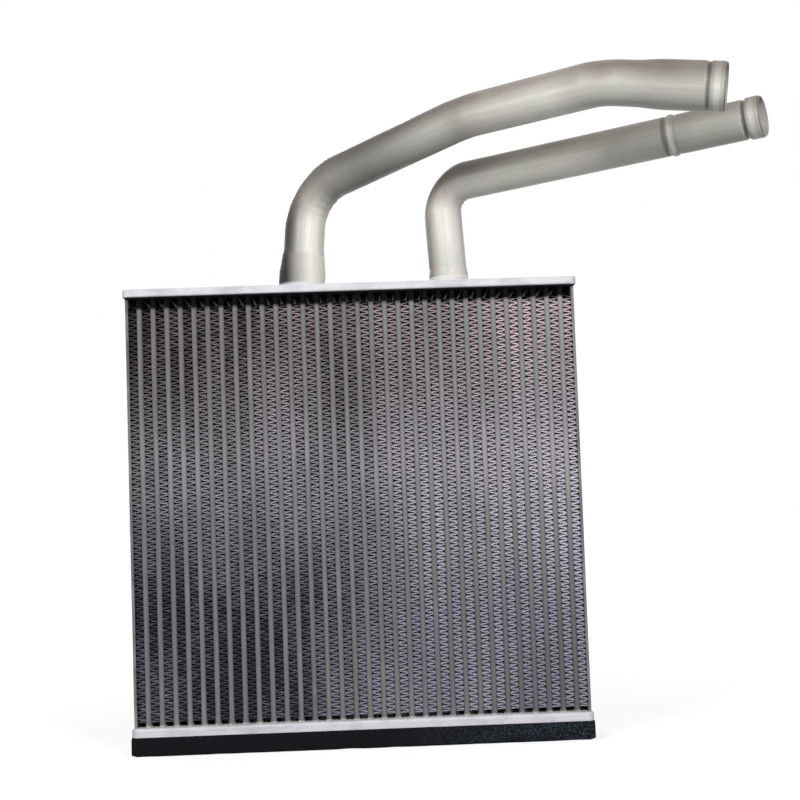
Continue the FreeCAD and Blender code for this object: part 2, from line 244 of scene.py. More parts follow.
class Shader:
    """A material under construction: its node tree and its principled shader."""

    def __init__(self, name, base, roughness, specular, metallic=0.0):
        self.material = bpy.data.materials.new(name)
        self.material.use_nodes = True
        self.tree = self.material.node_tree
        self.surface = self.tree.nodes["Principled BSDF"]
        self.surface.inputs["Base Color"].default_value = (*base, 1.0)
        self.surface.inputs["Metallic"].default_value = metallic
        self.surface.inputs["Roughness"].default_value = roughness
        self.surface.inputs["Specular IOR Level"].default_value = specular
        self.material.diffuse_color = (*base, 1.0)

    def node(self, kind, **settings):
        made = self.tree.nodes.new(kind)
        for key, value in settings.items():
            setattr(made, key, value)
        return made

    def link(self, source, target):
        self.tree.links.new(source, target)

    def stored(self, attribute, output="Fac"):
        """A value that the mesh keeps for each of its points."""
        return self.node("ShaderNodeAttribute", attribute_name=attribute).outputs[output]

    def place(self, scale, attribute=None):
        """Coordinates stretched by a scale, from the object or from a stored attribute."""
        mapping = self.node("ShaderNodeMapping")
        mapping.inputs["Scale"].default_value = scale
        if attribute:
            source = self.stored(attribute, "Vector")
        else:
            source = self.node("ShaderNodeTexCoord").outputs["Object"]
        self.link(source, mapping.inputs["Vector"])
        return mapping.outputs["Vector"]

    def axes(self, attribute=None):
        """X, Y and Z of the object or of a stored attribute."""
        split = self.node("ShaderNodeSeparateXYZ")
        self.link(self.place((1, 1, 1), attribute), split.inputs["Vector"])
        return split.outputs["X"], split.outputs["Y"], split.outputs["Z"]

    def noise(self, scale, detail=3.0, roughness=0.55, attribute=None):
        """Cloudy noise, whose scale is in clouds to the metre along each axis."""
        made = self.node("ShaderNodeTexNoise")
        made.inputs["Scale"].default_value = 1.0
        made.inputs["Detail"].default_value = detail
        made.inputs["Roughness"].default_value = roughness
        self.link(self.place(scale, attribute), made.inputs["Vector"])
        return made.outputs["Fac"]

    def ramp(self, source, low, high, start=0.0, end=1.0):
        """A value mapped from one range to another and held at its ends."""
        made = self.node("ShaderNodeMapRange", clamp=True)
        made.inputs["From Min"].default_value = low
        made.inputs["From Max"].default_value = high
        made.inputs["To Min"].default_value = start
        made.inputs["To Max"].default_value = end
        self.link(source, made.inputs["Value"])
        return made.outputs["Result"]

    def maths(self, operation, one, other):
        """One sum on two values, each a socket or a number."""
        made = self.node("ShaderNodeMath", operation=operation)
        for socket, value in zip(made.inputs, (one, other)):
            if isinstance(value, (int, float)):
                socket.default_value = value
            else:
                self.link(value, socket)
        return made.outputs["Value"]

    def times(self, one, other):
        return self.maths("MULTIPLY", one, other)

    def plus(self, one, other):
        return self.maths("ADD", one, other)

    def away(self, value, middle=0.0):
        """How far a value is from a middle, on either side."""
        return self.maths("ABSOLUTE", self.maths("SUBTRACT", value, middle), 0.0)

    def shade_above(self, high, start, end):
        """The share of painted shade at a height: none up to the start, all from the end, ragged
        between.
        """
        ragged = self.times(self.noise((300, 300, 300)), 0.0012)
        return self.ramp(self.maths("SUBTRACT", high, ragged), start, end)

    def shade_under_header(self, high, end, start):
        """The share of painted shade under the upper header, which fades out above its lower edge.
        """
        below = self.ramp(high, HEADER_FOOT - 0.02, HEADER_FOOT - 0.019)
        return self.times(below, self.ramp(high, HEADER_FOOT + end, HEADER_FOOT + start))

    def mix(self, factor, first, second, blend="MIX"):
        """Two colours mixed by a factor. A colour is a socket or three numbers."""
        made = self.node("ShaderNodeMix", data_type="RGBA", blend_type=blend)
        if isinstance(factor, (int, float)):
            made.inputs["Factor"].default_value = factor
        else:
            self.link(factor, made.inputs["Factor"])
        for name, value in (("A", first), ("B", second)):
            socket = [i for i in made.inputs if i.name == name and i.type == "RGBA"][0]
            if isinstance(value, bpy.types.NodeSocket):
                self.link(value, socket)
            else:
                socket.default_value = (*value, 1.0)
        return [o for o in made.outputs if o.type == "RGBA"][0]

    def scaled(self, body, share):
        """A colour made paler or darker by a share."""
        made = self.node("ShaderNodeVectorMath", operation="SCALE")
        self.link(body, made.inputs[0])
        self.link(share, made.inputs["Scale"])
        return made.outputs["Vector"]

    def paint(self, socket):
        self.link(socket, self.surface.inputs["Base Color"])

    def gloss(self, socket):
        self.link(socket, self.surface.inputs["Roughness"])

    def relief(self, height, distance, strength=1.0):
        """A bump of a height in metres."""
        made = self.node("ShaderNodeBump")
        made.inputs["Strength"].default_value = strength
        made.inputs["Distance"].default_value = distance
        self.link(height, made.inputs["Height"])
        self.link(made.outputs["Normal"], self.surface.inputs["Normal"])


def dulled(base, factor):
    """A colour made darker by a factor under 1, or paler by one over 1."""
    return tuple(channel * factor for channel in base)


def tube_finish(finishes):
    """Mill-finish strip with long draw marks, blotches of flux and a paler band at mid-height,
    painted light and shade on its right half, and near-black painted shade at its upper ends.
    """
    skin = Shader("tube_aluminium", finishes.tube, 0.6, 0.05)
    streaks = skin.noise((900, 900, 14), 4.0)
    blotch = skin.noise((60, 60, 28))
    x, _, z = skin.axes()
    body = skin.mix(skin.ramp(streaks, 0.3, 0.7), dulled(finishes.tube, 0.72), finishes.tube)
    flux = skin.ramp(blotch, 0.50, 0.72, 0.0, 0.55)
    body = skin.mix(flux, body, dulled(finishes.tube, 1.35))
    # Painted light and shade: on the right half the tubes are paler towards the top and darker
    # towards the bottom
    right_light_and_shade = skin.times(skin.ramp(z, 0.05, 0.11, -0.30, 0.40), skin.ramp(x, 0.0, 0.09))
    # A band around mid-height is paler
    band = skin.ramp(skin.away(z, 0.127), 0.0, 0.024, 0.32, 0.0)
    body = skin.scaled(body, skin.plus(skin.plus(right_light_and_shade, band), 1.15))
    # Painted shade: the tubes' upper ends turn near black in the gap under the upper header
    painted_shade = skin.shade_above(z, FIN_TOP - 0.0022, FIN_TOP - 0.0006)
    skin.paint(skin.mix(skin.times(painted_shade, 0.99), body, finishes.painted_shade))
    rough = skin.ramp(blotch, 0.3, 0.7, 0.5, 0.62)
    skin.gloss(skin.plus(rough, skin.times(painted_shade, 0.4)))
    skin.relief(streaks, 0.00005)
    return skin.material


def fin_finish(finishes):
    """Thin fin sheet: louvre slits drawn as dark lines of painted shade, painted light that makes
    it paler to the right, and painted shade at its top under the upper header.
    """
    skin = Shader("fin_aluminium", finishes.fin_lit, 0.8, 0.1)
    wave = skin.node("ShaderNodeTexWave", wave_type="BANDS", bands_direction="Y")
    wave.inputs["Scale"].default_value = 262.0
    wave.inputs["Distortion"].default_value = 0.0
    skin.link(skin.place((1, 1, 1)), wave.inputs["Vector"])
    slits = skin.ramp(wave.outputs["Fac"], 0.0, 0.25)
    cloud = skin.noise((26, 26, 9), 4.0)
    grain = skin.noise((260, 120, 420))
    x, y, z = skin.axes()
    # Painted light: the fins are paler to the right and darker to the left, varied at random by
    # cloudy noise
    side = skin.ramp(x, -0.10, 0.10, -0.08, 0.92)
    drift = skin.plus(side, skin.ramp(cloud, 0.3, 0.7, -0.28, 0.28))
    drift = skin.plus(drift, skin.ramp(grain, 0.3, 0.7, -0.12, 0.12))
    body = skin.mix(skin.ramp(drift, 0.05, 0.95), finishes.fin_shaded, finishes.fin_lit)
    warm = skin.ramp(z, 0.09, 0.19)
    body = skin.mix(warm, body, (1.12, 0.93, 0.97), "MULTIPLY")
    cold = skin.ramp(z, 0.05, 0.16, 1.0, 0.0)
    body = skin.mix(cold, body, (0.95, 0.94, 1.10), "MULTIPLY")
    low = skin.times(side, skin.ramp(z, 0.035, 0.09, 0.45, 0.0))
    body = skin.mix(low, body, dulled(finishes.fin_shaded, 0.5))
    belt = skin.ramp(skin.away(z, 0.12), 0.015, 0.055, 0.22, 0.0)
    body = skin.mix(belt, body, (0.86, 0.84, 0.90))
    # The louvre slits are dark lines of painted shade
    body = skin.mix(slits, dulled(finishes.fin_shaded, 0.5), body)
    cut_edge = skin.ramp(skin.away(y), FIN_FACE - 0.0003, FIN_FACE - 0.0001)
    dull = skin.mix(skin.ramp(z, 0.06, 0.11), (0.42, 0.42, 0.42), (0.85, 0.85, 0.85))
    body = skin.mix(cut_edge, body, skin.mix(1.0, body, dull, "MULTIPLY"))
    # Painted shade: the fins' tops turn near black under the upper header
    painted_shade = skin.shade_above(z, FIN_TOP - 0.0030, FIN_TOP - 0.0010)
    skin.paint(skin.mix(skin.times(painted_shade, 0.98), body, finishes.painted_shade))
    skin.relief(wave.outputs["Fac"], 0.0002, 0.6)
    return skin.material


def plate_finish(finishes):
    """Pressed sheet from the brazing oven: pale blooms of flux, near-black painted shade on the
    upper header's underside, and the inlet's neck painted pale like its riser with painted shade on
    its left side.
    """
    skin = Shader("tank_aluminium", finishes.plate, 0.45, 0.2)
    bloom_and_sheen = skin.noise((70, 70, 120), 5.0, 0.62)
    marks = skin.noise((30, 900, 900))
    x, _, z = skin.axes()
    body = skin.mix(skin.ramp(bloom_and_sheen, 0.34, 0.55), finishes.plate, finishes.flux)
    body = skin.mix(skin.ramp(marks, 0.55, 0.8, 0.0, 0.35), body, dulled(finishes.plate, 0.7))
    # Painted shade: near black on the upper header's underside, over the gap above the fins
    header_shade = skin.shade_under_header(z, 0.0007, 0.0002)
    body = skin.mix(skin.times(header_shade, 0.99), body, finishes.painted_shade)
    # Painted shade: the inlet's neck is near black on its left side and paler elsewhere, like the
    # riser
    foot = on_crown(INLET_ROUTE[0]).x
    left_shade = skin.ramp(x, foot - 0.0065, foot + 0.0045, 0.97, 0.0)
    riser = skin.mix(left_shade, dulled(finishes.pipe, 1.45), finishes.painted_shade)
    neck = skin.ramp(z, CROWN + 0.0006, CROWN + 0.002)
    skin.paint(skin.mix(neck, body, riser))
    rough = skin.ramp(bloom_and_sheen, 0.3, 0.7, 0.34, 0.62)
    skin.gloss(skin.plus(rough, skin.times(header_shade, 0.66)))
    skin.relief(bloom_and_sheen, 0.00012, 0.5)
    return skin.material


def side_finish(finishes):
    """Rolled side plates, duller than the tanks and streaked with dripped flux."""
    skin = Shader("side_plate_aluminium", finishes.tube, 0.5, 0.2, metallic=0.1)
    drips = skin.noise((260, 260, 9), 4.0)
    cloud = skin.noise((50, 50, 50))
    body = skin.mix(skin.ramp(drips, 0.4, 0.62), dulled(finishes.tube, 0.5), finishes.tube)
    skin.paint(skin.mix(skin.ramp(cloud, 0.5, 0.7, 0.0, 0.3), body, finishes.plate))
    skin.gloss(skin.ramp(cloud, 0.3, 0.7, 0.32, 0.55))
    skin.relief(drips, 0.00008, 0.6)
    return skin.material


def pipe_finish(finishes):
    """Drawn tube: marks along its length, heat stain in the bends, painted shade along its sides,
    and a stored paleness that is partly its own colour and partly painted light.
    """
    skin = Shader("pipe_aluminium", finishes.pipe, 0.4, 0.25)
    drawn = skin.noise((1500, 1500, 12), 4.0, attribute="straight")
    cloud = skin.noise((90, 90, 46), 6.0, attribute="straight")
    specks = skin.noise((420, 420, 300), 5.0, attribute="straight")
    side, _, _ = skin.axes("straight")
    body = skin.mix(skin.ramp(drawn, 0.3, 0.7), dulled(finishes.pipe, 0.84), finishes.pipe)
    body = skin.mix(skin.ramp(cloud, 0.48, 0.66, 0.0, 0.7), body, finishes.green)
    heated = skin.times(skin.stored("bend"), skin.ramp(cloud, 0.36, 0.62, 0.9, 0.15))
    heated = skin.times(heated, skin.ramp(side, -0.003, 0.004, 0.15, 1.0))
    body = skin.mix(heated, body, finishes.stain)
    body = skin.mix(skin.ramp(specks, 0.66, 0.76, 0.0, 0.3), body, dulled(finishes.pipe, 0.6))
    # Painted shade: darker along the top of the runs and the left of the risers, and less along the
    # opposite side
    upper = skin.ramp(side, 0.0034, 0.0088)
    under = skin.ramp(side, -0.0060, -0.0086, 0.0, 0.40)
    edge_shade = skin.times(skin.plus(upper, under), skin.ramp(cloud, 0.25, 0.6, 1.15, 0.8))
    body = skin.mix(edge_shade, body, dulled(finishes.stain, 0.45))
    # The stored paleness scales the colour: partly the metal's own colour, partly painted light and
    # shade
    skin.paint(skin.scaled(body, skin.stored("tone")))
    skin.gloss(skin.ramp(cloud, 0.3, 0.7, 0.28, 0.46))
    skin.relief(drawn, 0.00006, 0.7)
    return skin.material


def braze_finish(finishes):
    """Frozen braze metal with grey flux glass on it, with near-black painted shade under the upper
    header.
    """
    skin = Shader("braze_metal", finishes.pipe, 0.6, 0.1)
    lumps = skin.noise((700, 700, 700))
    dark, pale = dulled(finishes.pipe, 0.5), dulled(finishes.pipe, 1.1)
    body = skin.mix(skin.ramp(lumps, 0.35, 0.65), dark, pale)
    # Painted shade: near black under the upper header
    header_shade = skin.shade_under_header(skin.axes()[2], 0.002, 0.001)
    skin.paint(skin.mix(skin.times(header_shade, 0.99), body, finishes.painted_shade))
    skin.relief(lumps, 0.0003, 0.7)
    return skin.material


def foam_finish(finishes):
    """Closed-cell foam: fine open cells on the cut faces, and a painted blue sheen to the right."""
    skin = Shader("foam_rubber", finishes.foam, 0.9, 0.1)
    cells = skin.node("ShaderNodeTexVoronoi", feature="F1")
    cells.inputs["Scale"].default_value = 1.0
    skin.link(skin.place((1500, 1500, 1500)), cells.inputs["Vector"])
    cloud = skin.noise((28, 28, 90), 4.0)
    right = skin.ramp(skin.axes()[0], 0.01, 0.07)
    # Painted reflection: a blue sheen in patches towards the right
    painted_sheen = skin.times(right, skin.ramp(cloud, 0.38, 0.62, 0.1, 0.9))
    body = skin.mix(painted_sheen, finishes.foam, finishes.bloom_and_sheen)
    pore = skin.ramp(cells.outputs["Distance"], 0.1, 0.5)
    skin.paint(skin.mix(pore, body, dulled(finishes.foam, 2.2)))
    skin.relief(cells.outputs["Distance"], 0.0004, 0.6)
    return skin.material


# Mesh helpers


def piece(name, points, faces, material, smooth=True, crisp=None):
    """A new object of the part from points in metres and faces, riding on the core.

    Edges sharper than the crisp angle, in degrees, stay crisp on a smooth mesh.
    """
    mesh = bpy.data.meshes.new(name)
    mesh.from_pydata(points, [], faces)
    mesh.validate()
    mesh.materials.append(material)
    if smooth:
        mesh.shade_smooth()
    if crisp:
        mesh.set_sharp_from_angle(angle=math.radians(crisp))
    made = bpy.data.objects.new(name, mesh)
    bpy.context.scene.collection.objects.link(made)
    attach(made, "root")
    return made


def store(mesh, name, values):
    """Keeps a number, or three, for each point of a mesh."""
    if isinstance(values[0], tuple):
        numbers = [number for value in values for number in value]
        mesh.attributes.new(name, "FLOAT_VECTOR", "POINT").data.foreach_set("vector", numbers)
    else:
        mesh.attributes.new(name, "FLOAT", "POINT").data.foreach_set("value", values)


def loft_faces(first, rows, count):
    """Faces of a closed section of some points that is carried along some rows, with both caps."""
    faces = []
    for row in range(rows):
        here = first + row * count
        for i in range(count):
            j = (i + 1) % count
            faces.append((here + i, here + j, here + j + count, here + i + count))
    last = first + rows * count
    faces.append(tuple(range(first, first + count))[::-1])
    faces.append(tuple(range(last, last + count)))
    return faces


def tube_middles():
    """The X place of each water tube, from left to right."""
    return [(low.x + high.x) / 2 for low, high in map(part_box, TUBE_NODES)]


def fin_gaps():
    """The two walls of each gap that holds a fin strip, from left to right."""
    low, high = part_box(TUBE_NODES[0])
    half = (high.x - low.x) / 2
    walls = [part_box("left_side_plate")[1].x]
    for x in tube_middles():
        walls += [x - half, x + half]
    walls.append(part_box("right_side_plate")[0].x)
    return list(zip(walls[0::2], walls[1::2]))


def stadium(half_thick, half_deep, steps):
    """A flat tube's round-nosed section as (x, y) pairs, once around."""
    around = []
    for end in (1, -1):
        for i in range(steps + 1):
            angle = math.pi * i / steps
            x = end * math.cos(angle) * half_thick
            y = end * (half_deep - half_thick + math.sin(angle) * half_thick)
            around.append((x, y))
    return around


def build_tubes(sizes, finishes):
    """All the flat tubes as one mesh, each with a slight waver of its own."""
    low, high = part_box(TUBE_NODES[0])
    section = stadium(sizes.tube_thickness / 2, (high.y - low.y) / 2, NOSE_STEPS)
    points = []
    faces = []
    for x in tube_middles():
        faces += loft_faces(len(points), TUBE_ROWS, len(section))
        for row in range(TUBE_ROWS + 1):
            z = low.z + (high.z - low.z) * row / TUBE_ROWS
            drift = noise.noise(Vector((x * 400, z * 22, 0.7))) * sizes.tube_waver
            drift *= math.sqrt(max(0.0, math.sin(math.pi * row / TUBE_ROWS)))
            points += [(x + drift + a, b, z) for a, b in section]
    made = piece("water_tubes", points, faces, tube_finish(finishes), crisp=50)
    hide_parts(*TUBE_NODES)


def fold_path(left, right, low, high, folds, phase, flat, chance):
    """The zigzag of one strip, as (x, z) pairs. A phase of 1 is one panel."""
    rise = (high - low) / folds
    path = []
    for fold in range(-2, folds + 3):
        z = low + (fold + phase) * rise + chance.uniform(-0.06, 0.06) * rise
        x = left if fold % 2 == 0 else right
        for end in ((z - rise * flat, z + rise * flat) if flat else (z,)):
            if low <= end <= high:
                path.append((x, end))
    return path


def offset_path(path, distance):
    """A path moved sideways by a distance, mitred at its corners."""
    moved = []
    for i, (x, z) in enumerate(path):
        before = path[max(i - 1, 0)]
        after = path[min(i + 1, len(path) - 1)]
        runs = []
        for one, other in ((before, (x, z)), ((x, z), after)):
            run = Vector((other[0] - one[0], other[1] - one[1]))
            if run.length > 1e-9:
                runs.append(run.normalized())
        ahead = sum(runs, Vector((0.0, 0.0))).normalized()
        reach = distance / max(0.55, ahead.dot(runs[0]))
        moved.append((x - ahead.y * reach, z + ahead.x * reach))
    return moved


def build_fin_half(name, face, sizes, material, chance):
    """Half the depth of every strip: a bank of folds at the face and one further in.

    The two banks lean in opposite ways, so that no light shines straight through. Only the
    bank at the face has flat crests. A bank's folds are cut off level at the strip's ends.
    """
    low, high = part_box("fin_strips")
    half = sizes.fin_sheet / 2
    cut = face * FACE_BANK_END
    gap = math.copysign(BANK_GAP, face)
    turn = 0.25 if face > 0 else 0.0
    banks = (
        (face, cut + gap, turn, FLAT_CREST, -sizes.fin_lean),
        (cut - gap, gap, turn + 0.5, 0.0, sizes.fin_lean),
    )
    bottom, top = low.z - sizes.fin_lean, high.z + sizes.fin_lean
    points = []
    faces = []
    for left, right in fin_gaps():
        shift = chance.uniform(-0.4, 0.4)
        for start, end, phase, flat, lean in banks:
            path = fold_path(
                left + half, right - half, bottom, top,
                sizes.fin_folds, 2 * phase + shift, flat, chance,
            )
            sides = (offset_path(path, half), offset_path(path, -half))
            count = len(path)
            first = len(points)
            for y, lift in ((start, lean), (end, -lean)):
                bent = [chance.gauss(0, 1) * sizes.fin_scatter for _ in path]
                for side in sides:
                    for i, (x, z) in enumerate(side):
                        z += lift + bent[i // 2]
                        x = min(max(x, left), right)
                        points.append((x, y, min(max(z, low.z), high.z + FIN_OVERRUN)))
            flip = start > end
            far = 2 * count
            for i in range(first, first + count - 1):
                under = i + count
                around = (
                    (i, i + 1, i + 1 + far, i + far),
                    (under + 1, under, under + far, under + 1 + far),
                    (i + 1, i, under, under + 1),
                    (i + far, i + 1 + far, under + 1 + far, under + far),
                )
                faces += [quad[::-1] if flip else quad for quad in around]
            for i in (first, first + count - 1):
                end_face = (i, i + far, i + far + count, i + count)
                faces.append(end_face if (i == first) != flip else end_face[::-1])
    made = piece(name, points, faces, material, smooth=False)
    return made


def build_fins(sizes, finishes):
    """Every folded fin strip at the real pitch, as thin closed sheets in banks."""
    low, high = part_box("fin_strips")
    chance = random.Random(5)
    skin = fin_finish(finishes)
    front = build_fin_half("fins_front", low.y, sizes, skin, chance)
    back = build_fin_half("fins_back", high.y, sizes, skin, chance)
    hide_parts("fin_strips")
    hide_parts("fin_strips")


def build_fillets(sizes, finishes):
    """The skirt of braze metal where each tube enters a header."""
    chance = random.Random(11)
    over, under = (corner.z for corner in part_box("left_side_plate"))
    low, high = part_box(TUBE_NODES[0])
    section = stadium(sizes.tube_thickness / 2, (high.y - low.y) / 2, FILLET_STEPS)
    count = len(section)
    points = []
    faces = []
    for x in tube_middles():
        for level, way in ((under, -1), (over, 1)):
            first = len(points)
            for a, b in section:
                reach = sizes.joint_fillet * chance.uniform(0.75, 1.25)
                out = Vector((a, b - math.copysign(min(abs(b), NOSE_START), b)))
                out = out.normalized() if out.length else Vector((1, 0))
                foot = out * reach
                waist = out * reach * 0.3
                points.append((x + a + foot.x, b + foot.y, level))
                points.append((x + a + waist.x, b + waist.y, level + way * reach * 0.45))
                points.append((x + a * 0.98, b * 0.999, level + way * reach * 1.3))
            for i in range(count):
                here = first + 3 * i
                there = first + 3 * ((i + 1) % count)
                for step in (0, 1):
                    face = (here + step, there + step, there + step + 1, here + step + 1)
                    faces.append(face if way > 0 else face[::-1])
    made = piece("joint_fillets", points, faces, braze_finish(finishes))


# Pipes


def on_crown(place):
    """A point of a pipe's route in the frame of the whole part."""
    return Vector((place[0], place[1], CROWN + place[2]))


class Station(NamedTuple):
    """One ring of a pipe: its place, its direction, and how it sits in a bend."""

    place: Vector
    ahead: Vector
    inward: Vector = None
    share: float = 0.0


def straight_run(start, end, spacing):
    """Stations along a straight run, both ends included."""
    run = end - start
    count = max(2, round(run.length / spacing))
    ahead = run.normalized()
    return [Station(start + run * (i / count), ahead) for i in range(count + 1)]


def bend_run(before, corner, after, radius):
    """Stations around one bend, and where it starts and ends."""
    back = (before - corner).normalized()
    ahead = (after - corner).normalized()
    half = back.angle(ahead) / 2
    centre = corner + (back + ahead).normalized() * (radius / math.sin(half))
    start = corner + back * (radius / math.tan(half))
    axis = back.cross(ahead).normalized()
    total = math.pi - 2 * half
    arm = start - centre
    steps = max(6, round(math.degrees(total) / 3.5))
    stations = []
    for i in range(1, steps):
        turned = Matrix.Rotation(-total * i / steps, 3, axis) @ arm
        tangent = turned.cross(axis).normalized()
        if tangent.dot(ahead - back) < 0:
            tangent.negate()
        share = math.sin(math.pi * i / steps)
        stations.append(Station(centre + turned, tangent, -turned.normalized(), share))
    end = corner + ahead * (radius / math.tan(half))
    return start, stations, end


def route_stations(route, bends):
    """All the stations of a pipe from inside its neck to its mouth, closest at the mouth."""
    stops = [on_crown(p) for p in route]
    stops[0] = stops[0] - (stops[1] - stops[0]).normalized() * FOOT_DEPTH
    stations = []
    start = stops[0]
    for i, radius in enumerate(bends):
        first, around, last = bend_run(stops[i], stops[i + 1], stops[i + 2], radius)
        stations += straight_run(start, first, 0.004)
        stations += around
        start = last
    tip = stops[-1]
    ahead = (tip - start).normalized()
    stations += straight_run(start, tip - ahead * HOSE_END, 0.003)
    for i in range(1, MOUTH_STEPS + 1):
        stations.append(Station(tip - ahead * HOSE_END * (1 - i / MOUTH_STEPS), ahead))
    return stations


def smooth_step(value):
    """Eases from 0 to 1."""
    value = min(max(value, 0.0), 1.0)
    return value * value * (3 - 2 * value)


def groove_shape(distance, sleeve, bead):
    """Radius of a rolled hose end at a distance from its mouth."""
    if distance > GROOVE:
        dip = 1 - smooth_step((distance - GROOVE) / 0.0016)
        return sleeve - ROLLED * dip
    rise = smooth_step((GROOVE - distance) / 0.0014)
    radius = sleeve - ROLLED + (bead - sleeve + ROLLED) * rise
    if distance < LIP:
        radius -= ROLLED * (1 - smooth_step(distance / LIP))
    return radius


def inlet_shape(sizes):
    """Outside radius of the larger pipe against the distance from its mouth."""

    def radius(distance):
        sleeve = sizes.sleeve_radius
        if distance < HOSE_END:
            return groove_shape(distance, sleeve, sleeve)
        taper = smooth_step((distance - sizes.sleeve_length) / BELL_TAPER)
        return sleeve + (sizes.inlet_radius - sleeve) * taper

    return radius


def outlet_shape(sizes):
    """Outside radius of the smaller pipe, with its stop ring and flared bead."""

    def radius(distance):
        if distance < HOSE_END:
            return groove_shape(distance, sizes.outlet_radius, sizes.mouth_radius)
        away = abs(distance - sizes.ring_place)
        ring = 0.00055 * max(0.0, 1 - (away / 0.0014) ** 2)
        notch = -0.0002 * max(0.0, 1 - ((away - 0.002) / 0.0008) ** 2)
        return sizes.outlet_radius + ring + notch

    return radius


def mouth_shade_and_highlight(distance, ring):
    """Painted shade in the groove, behind the stop ring and on the lip, and painted highlights on
    the bead and on the stop ring.
    """
    marks = (
        (GROOVE, 0.0011, 0.35), (0.0034, 0.0018, 1.45), (0.0002, 0.0007, 0.4),
        (ring, 0.0011, 1.5), (ring + 0.0024, 0.0012, 0.45),
    )
    tone = 1.0
    for place, reach, share in marks:
        near = max(0.0, 1.0 - abs(distance - place) / reach)
        tone *= 1.0 + (share - 1.0) * smooth_step(1.6 * near)
    return tone


def build_pipe(name, route, bends, tones_and_light, left_shade, ring_place, radius_at, sizes, material):
    """One bent pipe with a real wall, wrinkled and flattened a little in its bends."""
    stations = route_stations(route, bends)
    if ring_place < NO_RING:
        stations = refine(stations, ring_place, 0.004)
    travelled = [0.0]
    for one, other in zip(stations, stations[1:]):
        travelled.append(travelled[-1] + (other.place - one.place).length)
    total = travelled[-1]
    side = stations[0].ahead.cross(Vector((0, 1, 0))).normalized()
    mouth = radius_at(0.004) - sizes.wall
    bore = radius_at(0.0115) - sizes.wall
    rings = []
    for station, gone in zip(stations, travelled):
        side = (side - station.ahead * side.dot(station.ahead)).normalized()
        distance = total - gone
        outer = radius_at(distance)
        inner = outer - sizes.wall
        if distance < MOUTH_DEPTH:
            inner = mouth + (bore - mouth) * smooth_step(distance / MOUTH_DEPTH)
        rings.append((station, gone, side, outer, inner))
    points = []
    straight = []
    bend = []
    tone = []

    def add_ring(station, gone, across, radius, outside=False):
        up = station.ahead.cross(across)
        for i in range(PIPE_SIDES):
            angle = 2 * math.pi * i / PIPE_SIDES
            way = across * math.cos(angle) + up * math.sin(angle)
            reach = radius
            if station.inward is not None:
                facing = way.dot(station.inward)
                crumple = max(0.0, facing) ** 3 * math.sin(gone * 2 * math.pi / WRINKLE_PITCH)
                reach += sizes.wrinkle * station.share * crumple
                reach -= sizes.flattening * station.share * max(0.0, -facing) ** 2
            points.append(station.place + way * reach)
            straight.append((math.cos(angle) * radius, math.sin(angle) * radius, gone))
            bend.append(station.share)
            # Painted shade and highlights at the hose end
            mouth_light = mouth_shade_and_highlight(total - gone, ring_place) if outside else 1.0
            tone.append(tone_and_light_at(tones_and_light, left_shade, gone, angle) * mouth_light)

    for station, gone, across, outer, inner in rings:
        add_ring(station, gone, across, outer, outside=True)
    tip, gone, across, outer, inner = rings[-1]
    add_ring(tip, gone, across, (outer + inner) / 2)
    for station, gone, across, outer, inner in rings[::-1]:
        add_ring(station, gone, across, inner)
    faces = []
    layers = len(points) // PIPE_SIDES
    for layer in range(layers):
        below = layer * PIPE_SIDES
        above = ((layer + 1) % layers) * PIPE_SIDES
        for i in range(PIPE_SIDES):
            j = (i + 1) % PIPE_SIDES
            faces.append((below + i, below + j, above + j, above + i))
    made = piece(name, points, faces, material, crisp=45)
    for key, values in (("straight", straight), ("bend", bend), ("tone", tone)):
        store(made.data, key, values)
    return made


def tone_and_light_at(tones_and_light, left_shade, gone, angle):
    """How pale a pipe is painted at a distance from its foot and at an angle round it.

    The entries are blended between the nearest two; they hold the metal's own paleness and painted
    light. The riser's left side gets painted shade.
    """
    tone = tones_and_light[-1][1]
    for (near, one), (far, other) in zip(tones_and_light, tones_and_light[1:]):
        if near <= gone <= far:
            tone = one + (other - one) * smooth_step((gone - near) / (far - near))
    left = smooth_step((math.cos(angle) + 0.4) / 1.25)
    riser = 1.0 - smooth_step((gone - 0.028) / 0.025)
    return tone * (1.0 - left_shade * left * riser)


def refine(stations, place, reach):
    """Adds close stations along the last run near one distance from the mouth."""
    tip = stations[-1].place
    ahead = stations[-1].ahead
    kept = [s for s in stations if abs((tip - s.place).length - place) > reach]
    extra = []
    for i in range(RING_STEPS + 1):
        distance = place + reach - 2 * reach * i / RING_STEPS
        extra.append(Station(tip - ahead * distance, ahead))
    cut = next(
        i for i, s in enumerate(kept)
        if s.inward is None and (tip - s.place).length < place and s.ahead.dot(ahead) > 0.9999
    )
    return kept[:cut] + extra + kept[cut:]


def build_collar(name, route, tones_and_light, left_shade, radius, height, material):
    """The smooth skirt of braze metal where a pipe leaves its drawn neck."""
    foot = on_crown(route[0])
    ahead = (on_crown(route[1]) - foot).normalized()
    side = ahead.cross(Vector((0, 1, 0))).normalized()
    up = ahead.cross(side)
    points = []
    straight = []
    tone = []
    for i in range(PIPE_SIDES):
        angle = 2 * math.pi * i / PIPE_SIDES
        way = side * math.cos(angle) + up * math.sin(angle)
        swell = 1 + 0.18 * noise.noise(way * 2.3)
        for out, rise in COLLAR_SECTION:
            tone.append(tone_and_light_at(tones_and_light, left_shade, height + rise, angle))
            points.append(foot + ahead * (height + rise * swell) + way * (radius + out))
            straight.append((math.cos(angle) * radius, math.sin(angle) * radius, height + rise))
    faces = []
    rows = len(COLLAR_SECTION)
    for i in range(PIPE_SIDES):
        here = rows * i
        there = rows * ((i + 1) % PIPE_SIDES)
        for k in range(rows - 1):
            faces.append((here + k, there + k, there + k + 1, here + k + 1))
    made = piece(name, points, faces, material)
    store(made.data, "straight", straight)
    store(made.data, "tone", tone)


# Foam


